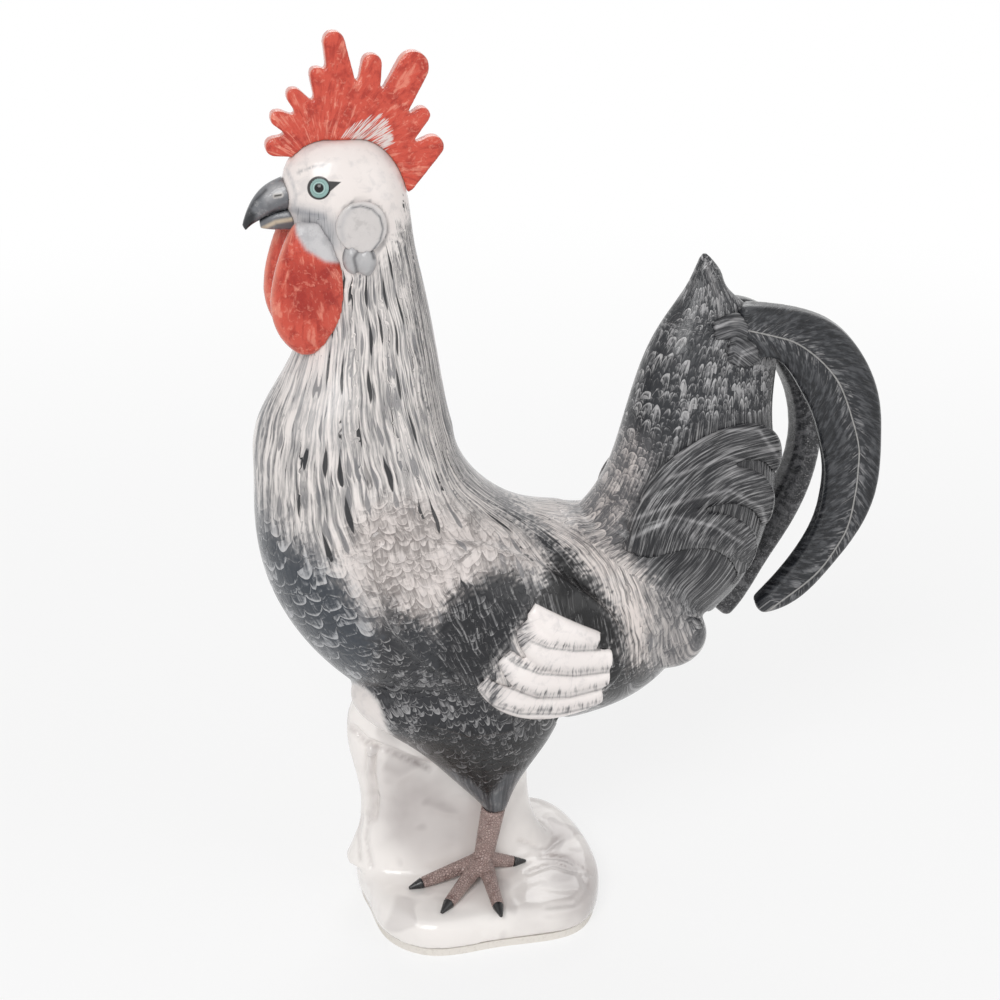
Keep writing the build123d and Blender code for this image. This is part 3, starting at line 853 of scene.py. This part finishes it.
roll_coats = [coat(everywhere, roll_white, silver, -0.2, fine=1.0)]
roll_coats += [coat(patch(end, 9), roll_shade, lead, 0.55, fine=1.0) for end in roll_ends]
roll_coats += [
    coat(band([(x, y - roll_hatch) for x, y in rim], 5, 11), roll_cream, lead, 0.5, fine=1.0)
    for rim in roll_rims
]
# Painted shade: a grey line along each rim, in the gap to the next roll.
roll_coats += [coat(band(rim, 1, 3), roll_gap_shade, lead, 0.3, fine=1.0) for rim in roll_rims]
covert_coats = [*plumage, *(coat(band(ridge, 1, 6), silver, lead, 0.3) for ridge in covert_ridges)]
curl_coats = [coat(everywhere, (128, 128, 130), soot, 0.6, fine=0.4)]
curl_coats += [coat(band(edge, 1, 4), silver, lead, 0.2) for edge in curl_edges]
for side in ("left", "right"):
    for kind, node, grain, coats, path, finish in (
        ("tail_coverts_skin_", "tail_coverts_", 0.0013, covert_coats, covert_path, "dark_feather_glaze"),
        ("wing_feathers_skin_", "wing_feathers_", 0.0012, roll_coats, roll_path, "white_feather_glaze"),
        ("curl_skin_", "curl_", 0.0010, curl_coats, curl_path, "dark_feather_glaze"),
    ):
        laid = cast_skin(kind + side, [node + side], grain, roll_passes)
        paint(laid, coats)
        run_along(laid, path, *hair_sizes[node], crosswise=coats is roll_coats)
        laid.data.materials.append(feathers)

# Sickles: the two long arched feathers, pressed solid and slipped onto the plume. The barbs are brushed dark
# from a pale midrib on the near one, and along the far one.
sickle_grain = 0.0018
sickle_passes = 6
midrib = [
    (745, 330), (777, 337), (798, 344), (822, 362), (840, 385), (852, 418), (859, 448), (858, 472),
    (856, 490), (849, 523), (838, 545), (815, 575), (775, 606),
]
far_line = [(740, 330), (790, 360), (812, 410), (812, 470), (790, 530), (750, 580), (720, 605)]
sickle_grounds = {"left": (52, 54, 58), "right": (74, 74, 77)}


def sickle_glaze(name, tone, rib):
    """Barbs that sweep from the midrib to the rims of a long feather, with pale hairs between them."""
    glaze, shader, place = new_glaze(name)
    across, along = place.map("flow")
    off = across.math("ABSOLUTE")
    barb = along - off * 0.9 * rib
    fine = (barb * 0.5).joined(off * 0.09 * rib + across * 0.5 * (1 - rib)).noise(1.0, 4.0, 0.6, 0.5)
    broad = (barb * 0.16).joined(across * 0.1, 4.0).noise(1.0, 3.0, 0.55, 0.3)
    ground = place.node("RGB", {}, {})
    ground.socket.default_value = (*linear(tone), 1)
    near = 1 - off.step(2.0, 16.0)
    colour = ground.under((22, 24, 28), broad.step(0.42, 0.6) * (0.95 - near * 0.4))
    colour = colour.under((132, 132, 134), (1 - broad.step(0.36, 0.5)) * (near * 0.5 + 0.15))
    colour = colour.under((178, 176, 176), fine.step(0.54, 0.66) * (near * 0.55 + 0.08))
    colour = colour.under((18, 20, 24), (1 - fine.step(0.32, 0.47)) * (0.85 - near * 0.4))
    shaft = 1 - (off + place.noise(300.0) * 0.8).step(0.9, 1.6)
    colour = colour.under((186, 184, 182), shaft * 0.7 * rib)
    link(shader, colour, fine * 0.6 + shaft * rib, depth=0.0012)
    return glaze


for side, path in (("left", midrib), ("right", far_line)):
    sickle = cast_skin("sickle_skin_" + side, ["sickle_" + side], sickle_grain, sickle_passes)
    run_along(sickle, path, width=1.0, length=1.0, folded=False)
    sickle.data.materials.append(sickle_glaze("sickle_glaze_" + side, sickle_grounds[side], side == "left"))

# Comb and wattles: a lobed plate let into the crown, and two hanging lobes under the beak, in a mottled red
# glaze that is paler on the rims. White hairs of the crown run onto the comb.
red_grain = 0.0014
red_passes = 6
streak_count = 90
streak_length = 26.0
comb_red = (206, 80, 62)
comb_dark = (158, 38, 28)
comb_pale = (238, 150, 128)
hair_white = (226, 220, 216)
comb_middle = (322, 170)
crown_hairs = [(336, 138), (352, 122), (380, 108), (392, 120), (398, 144), (386, 156), (362, 146)]
wattle_top = (300, 190)
wattle_root = [(292, 212), (350, 212), (350, 264), (326, 262), (306, 250), (296, 234)]
wattle_rim = [(286, 240), (276, 262), (271, 290), (278, 322), (292, 346)]
# The hollow of each wattle, darkened as painted shade.
wattle_hollow = [(288, 257), (310, 262), (334, 268), (334, 300), (318, 320), (292, 318), (284, 290)]


def fan_out(piece, middle, up, columns, length):
    """Streaks that fan out from a place on the photograph, up or down."""
    gaps = seen(places_of(piece)) - middle
    turns = np.arctan2(gaps[:, 0], -up * gaps[:, 1]) / (2 * pi)
    put_map(piece, "flow", np.column_stack([turns * columns, np.linalg.norm(gaps, axis=1) / length]))


def red_glaze():
    glaze, shader, place = new_glaze("red_glaze")
    across, along = place.map("flow")
    light, _, (hairy, hollow_shade, bare, _) = place.painted()
    red = 1 - bare
    facing = place.node("TexCoord", {}, {}, "Normal")
    flank = facing.node("SeparateXYZ", {}, {0: facing}, 1).math("ABSOLUTE")
    cloud = place.noise(80.0, 4.0, 0.65)
    streak = across.joined(along, 2.0).noise(1.0, 4.0, 0.6, 0.3)
    speck = place.noise(300.0, 3.0, 0.6, 0.6)
    colour = light.under((150, 150, 154), cloud.step(0.4, 0.65) * bare * 0.45)
    # Darker in random clouds, and in the hollow of each wattle as painted shade.
    colour = colour.under(comb_dark, (cloud.step(0.48, 0.64) * 0.6 + hollow_shade * 0.6).math("MINIMUM", 0.9) * red)
    colour = colour.under(comb_dark, streak.step(0.52, 0.66) * 0.6 * red)
    thin = (1 - streak.step(0.34, 0.46)) * 0.6 + speck.step(0.56, 0.68) * 0.4
    colour = colour.under(comb_pale, thin * red)
    # Paler on the rims, where the surface turns away from the flat sides.
    colour = colour.under(comb_pale, (1 - flank.step(0.35, 0.85)) * 0.6 * red)
    hair = (across * 3.0).joined(along * 0.8, 7.0).noise(1.0, 3.0, 0.6, 0.3)
    colour = colour.under(hair_white, (hair + hairy * 0.46).step(0.9, 1.0) * 0.9)
    link(shader, colour, cloud + streak * 0.5 + speck * 0.2, depth=0.0014)
    return glaze


reds = red_glaze()
red_coats = [
    coat(everywhere, comb_red),
    coat(patch(crown_hairs, 7), comb_red, share=1.0),
    # Painted shade in the hollow of each wattle.
    coat(patch(wattle_hollow, 10), comb_red, scaly=1.0),
    coat(band(wattle_rim, 2, 7), (222, 112, 92)),
    coat(patch(wattle_root, 3), (204, 202, 203), fine=1.0),
]
for name, node, middle, up in (
    ("comb_skin", "comb", comb_middle, 1),
    ("wattle_skin_left", "wattle_left", wattle_top, -1),
    ("wattle_skin_right", "wattle_right", wattle_top, -1),
):
    red = cast_skin(name, [node], red_grain, red_passes)
    paint(red, red_coats)
    fan_out(red, middle, up, streak_count, streak_length)
    red.data.materials.append(reds)

# Beak: two tapered halves, pressed solid and slipped onto the head. The glaze is grey, black at the tip and
# in the mouth and cream on the lower edge, with a pale rim to the nostril.
beak_grain = 0.0008
beak_passes = 4
beak_grey = (112, 114, 118)
beak_black = (36, 38, 42)
horn_cream = (200, 186, 164)
# The top of the upper beak, painted lighter as a painted highlight.
lit_beak_top = [(262, 193), (272, 184), (286, 182), (292, 190), (280, 196), (266, 204)]
beak_front = [(243, 230), (246, 215), (255, 201), (266, 190)]
beak_tip = [(244, 232), (243, 222), (250, 210), (256, 214), (254, 226), (249, 234)]
mouth = [(252, 228), (262, 219), (274, 212), (296, 209)]
nostril = [(275, 196), (281, 195)]
cream_edge = [(250, 233), (262, 229), (276, 222), (294, 219)]


def brushed_glaze(name, mottle, gloss=0.16, scale=160.0):
    """The coats on a piece, a little mottled, as a brush leaves them."""
    glaze, shader, place = new_glaze(name, gloss)
    light = place.painted()[0]
    cloud = place.noise(scale, 4.0, 0.65)
    colour = light.under((60, 60, 62), cloud.step(0.5, 0.7) * mottle)
    colour = colour.under((240, 236, 232), (1 - cloud.step(0.3, 0.46)) * mottle * 0.6)
    link(shader, colour, cloud, depth=0.0005)
    return glaze


beak_coats = [
    coat(everywhere, beak_grey),
    # Lighter grey on top of the beak: a painted highlight.
    coat(patch(lit_beak_top, 5), (160, 160, 162)),
    coat(band(beak_front, 2, 5), beak_black),
    coat(band(mouth, 3, 4), beak_black),
    coat(band(cream_edge, 4, 3), horn_cream),
    coat(patch(beak_tip, 3), beak_black),
    coat(band(nostril, 5, 2), (206, 202, 198)),
    coat(band(nostril, 2, 2), (14, 14, 16)),
]
horn = brushed_glaze("beak_glaze", mottle=0.25)
for name, node in (("beak_skin", "upper_beak"), ("lower_beak_skin", "lower_beak")):
    half = cast_skin(name, [node], beak_grain, beak_passes)
    paint(half, beak_coats)
    half.data.materials.append(horn)

# Eyes: round buttons of clay let into the head, under the smoothest glaze. Each has a black pupil in two
# rings of grey-green, with a black rim.
eye_grain = 0.0004
eye_passes = 3
ring_soft = 0.8
eye_rings = [(9.8, (148, 182, 177)), (7.0, (112, 144, 141)), (6.4, (170, 200, 195)), (4.8, (10, 11, 12))]
rim_black = (20, 22, 24)

eye_coats = [coat(everywhere, rim_black)]
eye_coats += [coat(disc(eye_middle, radius, ring_soft), tone) for radius, tone in eye_rings]
eye_glaze = brushed_glaze("eye_glaze", mottle=0.0, gloss=0.04)
for side in ("left", "right"):
    eye = cast_skin("eye_skin_" + side, ["eye_" + side], eye_grain, eye_passes)
    paint(eye, eye_coats)
    eye.data.materials.append(eye_glaze)

# Ear lobes and tufts: a flat disc on each side of the head, and two small lobes under it, slipped on and
# glazed in pale greys that darken along the rims.
ear_grain = 0.0009
ear_passes = 4
ear_pale = (210, 205, 203)
ear_line = (80, 82, 86)
ear_edge = [(352, 208), (361, 206), (372, 209), (380, 217), (383, 229), (380, 241), (373, 250)]
ear_front = [(352, 208), (345, 216), (341, 228), (343, 240)]
tuft_lines = [
    [(344, 249), (341, 262), (346, 274)],
    [(357, 272), (354, 258), (360, 248), (370, 247), (374, 258)],
]
ear_coats = [
    coat(everywhere, ear_pale),
    coat(band(ear_front, 2, 10), (186, 184, 185)),
    coat(band(ear_edge, 1, 6), (180, 179, 180)),
    coat(band(ear_edge, 1, 2.5), ear_line),
]
tuft_coats = [coat(everywhere, (182, 181, 182)), *(coat(band(line, 3, 4), lead) for line in tuft_lines)]
soft_glaze = brushed_glaze("ear_glaze", mottle=0.16, scale=150.0)
for side in ("left", "right"):
    for kind, node, coats in (
        ("ear_lobe_skin_", "ear_lobe_", ear_coats),
        ("ear_tufts_skin_", "ear_tufts_", tuft_coats),
    ):
        lobe = cast_skin(kind + side, [node + side], ear_grain, ear_passes)
        paint(lobe, coats)
        lobe.data.materials.append(soft_glaze)

# Legs: shanks and toes modelled onto the rock, in a thin brown glaze that settles between the scales, with
# black claws.
leg_grain = 0.0012
leg_passes = 4
claw_grain = 0.0007
claw_passes = 3
leg_pale = (190, 166, 160)
leg_brown = (104, 76, 70)
claw_black = (38, 37, 38)


def leg_glaze():
    glaze, shader, place = new_glaze("leg_glaze", gloss=0.35)
    scute = place.node("TexVoronoi", {"feature": "DISTANCE_TO_EDGE"}, {"Vector": place, "Scale": 480.0})
    cloud = place.noise(140.0, 4.0, 0.65)
    base = place.node("RGB", {}, {})
    base.socket.default_value = (*linear(leg_pale), 1)
    lines = 1 - (scute + cloud * 0.1).step(0.06, 0.2)
    colour = base.under(leg_brown, lines * 0.55 + cloud.step(0.48, 0.66) * 0.4)
    link(shader, colour, scute.step(0.0, 0.3), depth=0.0008)
    return glaze


scaly_skin = leg_glaze()
claw_coats = [coat(everywhere, claw_black)]
claw_glaze = brushed_glaze("claw_glaze", mottle=0.2)
for side in ("left", "right"):
    leg = cast_skin("leg_skin_" + side, ["shank_" + side, "foot_" + side], leg_grain, leg_passes)
    leg.data.materials.append(scaly_skin)
    claws = cast_skin("claw_skin_" + side, ["claws_" + side], claw_grain, claw_passes)
    paint(claws, claw_coats)
    claws.data.materials.append(claw_glaze)

# Studio: a pale floor that keeps the shadow, three soft lamps, and white wherever the camera or a reflection
# sees past the bird.
floor_size = 12.0
floor_tone = (0.9, 0.9, 0.9, 1)
floor_glow = 0.7
glow_start = 0.6
glow_end = 2.2
aim_height = 0.35
lamps = {
    "key": ((-1.1, -1.9, 1.9), 1.2, 30.0),
    "fill": ((1.8, -1.4, 1.3), 1.6, 9.0),
    "back": ((0.4, 1.8, 1.8), 1.4, 12.0),
}
room_light = 0.5


def shown_white(tree, surface, output, share=1.0):
    """White to the camera and in reflections, in place of a share of the surface's own shade."""
    path = Tint(tree, None)
    kinds = ("Is Camera Ray", "Is Glossy Ray", "Is Transmission Ray")
    rays = [path.node("LightPath", {}, {}, kind) for kind in kinds]
    white = path.node("Emission", {}, {"Color": (1, 1, 1, 1), "Strength": 1.0})
    mask = rays[0].math("MAXIMUM", rays[1]).math("MAXIMUM", rays[2]) * share
    tree.links.new(path.node("MixShader", {}, {0: mask, 1: surface, 2: white}).socket, output)


bpy.ops.object.select_all(action="DESELECT")
bpy.ops.mesh.primitive_plane_add(size=floor_size)
studio_floor = bpy.context.object
studio_floor.name = "studio_floor"
floor_white = bpy.data.materials.new("studio_white")
floor_white.use_nodes = True
floor_tree = floor_white.node_tree
floor_shader = floor_tree.nodes["Principled BSDF"]
floor_shader.inputs["Base Color"].default_value = floor_tone
floor_shader.inputs["Roughness"].default_value = 0.9
floor_place = Tint(floor_tree, None).node("TexCoord", {}, {}, "Object")
far = floor_place.node("VectorMath", {"operation": "LENGTH"}, {0: floor_place}, 1).step(glow_start, glow_end)
floor_out = floor_tree.nodes["Material Output"].inputs["Surface"]
floor_shade = Tint(floor_tree, floor_shader.outputs[0])
shown_white(floor_tree, floor_shade, floor_out, far * (1 - floor_glow) + floor_glow)
studio_floor.data.materials.append(floor_white)
for name, (place, size, power) in lamps.items():
    aim = (Vector((0, 0, aim_height)) - Vector(place)).to_track_quat("-Z", "Y").to_euler()
    bpy.ops.object.light_add(type="AREA", location=place, rotation=aim)
    lamp = bpy.context.object
    lamp.name = "lamp_" + name
    lamp.data.size = size
    lamp.data.energy = power
world = bpy.data.worlds.new("studio")
bpy.context.scene.world = world
world.use_nodes = True
room = world.node_tree.nodes["Background"]
room.inputs["Color"].default_value = (1, 1, 1, 1)
room.inputs["Strength"].default_value = room_light
room_shade = Tint(world.node_tree, room.outputs[0])
shown_white(world.node_tree, room_shade, world.node_tree.nodes["World Output"].inputs[0])
bpy.context.scene.view_settings.view_transform = "Standard"
